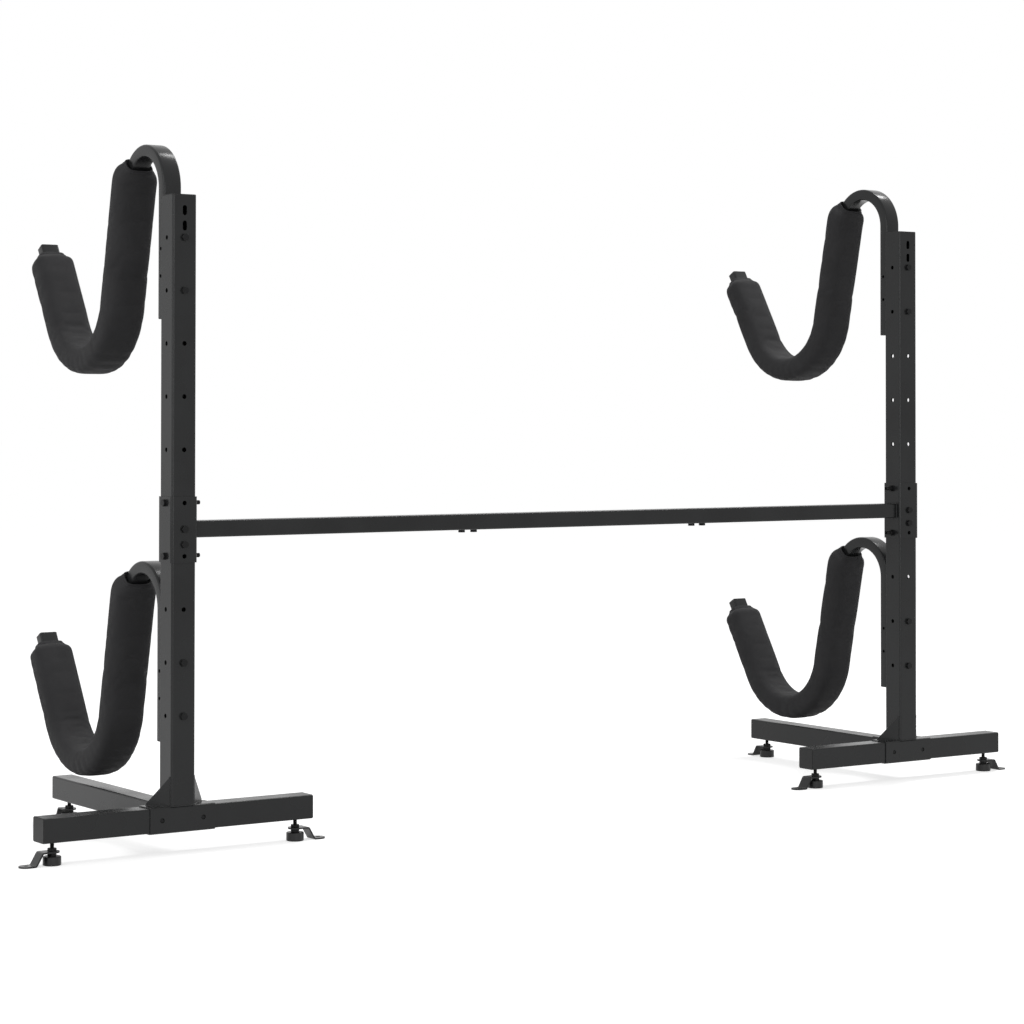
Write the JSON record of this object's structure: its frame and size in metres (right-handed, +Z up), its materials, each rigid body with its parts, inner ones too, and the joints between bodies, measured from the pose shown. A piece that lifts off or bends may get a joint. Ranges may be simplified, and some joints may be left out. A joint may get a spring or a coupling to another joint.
{
  "type": "freestanding kayak rack",
  "caption": "Freestanding kayak rack: T-footed steel posts, bolted crossbar and padded J hooks on two levels, standing on levelling feet with floor anchor straps",
  "frame": {"origin": "on the ground, at the middle of the rack's length and depth", "axes": "+X along the crossbar to the right frame as seen from the posts' front, +Y from the posts towards the hooks, +Z up"},
  "size_m": [2.47, 0.6306, 1.3429],
  "materials": {
    "powder_coat": "satin black powder coat on steel tube",
    "cap_plastic": "black moulded plastic, lightly grained",
    "cup_plastic": "black moulded plastic, smooth",
    "pad_fabric": "black woven cover over a foam sleeve",
    "bolt_black": "black-coated steel bolts, nuts and studs"
  },
  "bodies": {
    "rack": {"lower_post_left": "powder_coat", "lower_post_right": "powder_coat", "upper_post_left": "powder_coat", "upper_post_right": "powder_coat", "mid_sleeve_left": "powder_coat", "mid_sleeve_right": "powder_coat", "base_sleeve_left": "powder_coat", "base_sleeve_right": "powder_coat", "leg_outer_left": "powder_coat", "leg_outer_right": "powder_coat", "leg_inner_left": "powder_coat", "leg_inner_right": "powder_coat", "stem_leg_left": "powder_coat", "stem_leg_right": "powder_coat", "gussets_left": "powder_coat", "gussets_right": "powder_coat", "end_caps_left": "cap_plastic", "end_caps_right": "cap_plastic", "sleeve_bolts_left": "bolt_black", "sleeve_bolts_right": "bolt_black", "base_bolts_left": "bolt_black", "base_bolts_right": "bolt_black", "hook_bolts_left": "bolt_black", "hook_bolts_right": "bolt_black", "frame_nuts_left": "bolt_black", "frame_nuts_right": "bolt_black", "hook_upper_left": "powder_coat", "hook_upper_right": "powder_coat", "hook_lower_left": "powder_coat", "hook_lower_right": "powder_coat", "pad_upper_left": "pad_fabric", "pad_upper_right": "pad_fabric", "pad_lower_left": "pad_fabric", "pad_lower_right": "pad_fabric", "hook_caps_left": "cap_plastic", "hook_caps_right": "cap_plastic", "crossbar_left": "powder_coat", "crossbar_centre": "powder_coat", "crossbar_right": "powder_coat", "crossbar_couplers": "powder_coat", "crossbar_bolts": "bolt_black"},
    "strap_left_outer": {"anchor_strap_left_outer": "powder_coat"},
    "foot_left_outer": {"foot_cup_left_outer": "cup_plastic", "foot_stud_left_outer": "bolt_black"},
    "strap_left_inner": {"anchor_strap_left_inner": "powder_coat"},
    "foot_left_inner": {"foot_cup_left_inner": "cup_plastic", "foot_stud_left_inner": "bolt_black"},
    "strap_left_back": {"anchor_strap_left_back": "powder_coat"},
    "foot_left_back": {"foot_cup_left_back": "cup_plastic", "foot_stud_left_back": "bolt_black"},
    "strap_right_outer": {"anchor_strap_right_outer": "powder_coat"},
    "foot_right_outer": {"foot_cup_right_outer": "cup_plastic", "foot_stud_right_outer": "bolt_black"},
    "strap_right_inner": {"anchor_strap_right_inner": "powder_coat"},
    "foot_right_inner": {"foot_cup_right_inner": "cup_plastic", "foot_stud_right_inner": "bolt_black"},
    "strap_right_back": {"anchor_strap_right_back": "powder_coat"},
    "foot_right_back": {"foot_cup_right_back": "cup_plastic", "foot_stud_right_back": "bolt_black"}
  },
  "joints": [
    {"name": "lift_left_outer", "type": "slide", "parent": "rack", "child": "strap_left_outer", "axis": [0, 0, -1], "range_m": [-0.01, 0.02]},
    {"name": "turn_left_outer", "type": "hinge", "parent": "strap_left_outer", "child": "foot_left_outer", "pos_m": [-1.17, -0.28226, 0], "axis": [0, 0, 1], "range_deg": [-5765, 2885]},
    {"name": "lift_left_inner", "type": "slide", "parent": "rack", "child": "strap_left_inner", "axis": [0, 0, -1], "range_m": [-0.01, 0.02]},
    {"name": "turn_left_inner", "type": "hinge", "parent": "strap_left_inner", "child": "foot_left_inner", "pos_m": [-0.66, -0.28226, 0], "axis": [0, 0, 1], "range_deg": [-5765, 2885]},
    {"name": "lift_left_back", "type": "slide", "parent": "rack", "child": "strap_left_back", "axis": [0, 0, -1], "range_m": [-0.01, 0.02]},
    {"name": "turn_left_back", "type": "hinge", "parent": "strap_left_back", "child": "foot_left_back", "pos_m": [-0.915, 0.19173, 0], "axis": [0, 0, 1], "range_deg": [-5765, 2885]},
    {"name": "lift_right_outer", "type": "slide", "parent": "rack", "child": "strap_right_outer", "axis": [0, 0, -1], "range_m": [-0.01, 0.02]},
    {"name": "turn_right_outer", "type": "hinge", "parent": "strap_right_outer", "child": "foot_right_outer", "pos_m": [1.17, -0.28226, 0], "axis": [0, 0, 1], "range_deg": [-5765, 2885]},
    {"name": "lift_right_inner", "type": "slide", "parent": "rack", "child": "strap_right_inner", "axis": [0, 0, -1], "range_m": [-0.01, 0.02]},
    {"name": "turn_right_inner", "type": "hinge", "parent": "strap_right_inner", "child": "foot_right_inner", "pos_m": [0.66, -0.28226, 0], "axis": [0, 0, 1], "range_deg": [-5765, 2885]},
    {"name": "lift_right_back", "type": "slide", "parent": "rack", "child": "strap_right_back", "axis": [0, 0, -1], "range_m": [-0.01, 0.02]},
    {"name": "turn_right_back", "type": "hinge", "parent": "strap_right_back", "child": "foot_right_back", "pos_m": [0.915, 0.19173, 0], "axis": [0, 0, 1], "range_deg": [-5765, 2885]}
  ],
  "couplings": [
    {"joint": "turn_left_outer", "follows": "lift_left_outer", "rad_per_m": -5026.5},
    {"joint": "turn_left_inner", "follows": "lift_left_inner", "rad_per_m": -5026.5},
    {"joint": "turn_left_back", "follows": "lift_left_back", "rad_per_m": -5026.5},
    {"joint": "turn_right_outer", "follows": "lift_right_outer", "rad_per_m": -5026.5},
    {"joint": "turn_right_inner", "follows": "lift_right_inner", "rad_per_m": -5026.5},
    {"joint": "turn_right_back", "follows": "lift_right_back", "rad_per_m": -5026.5}
  ]
}
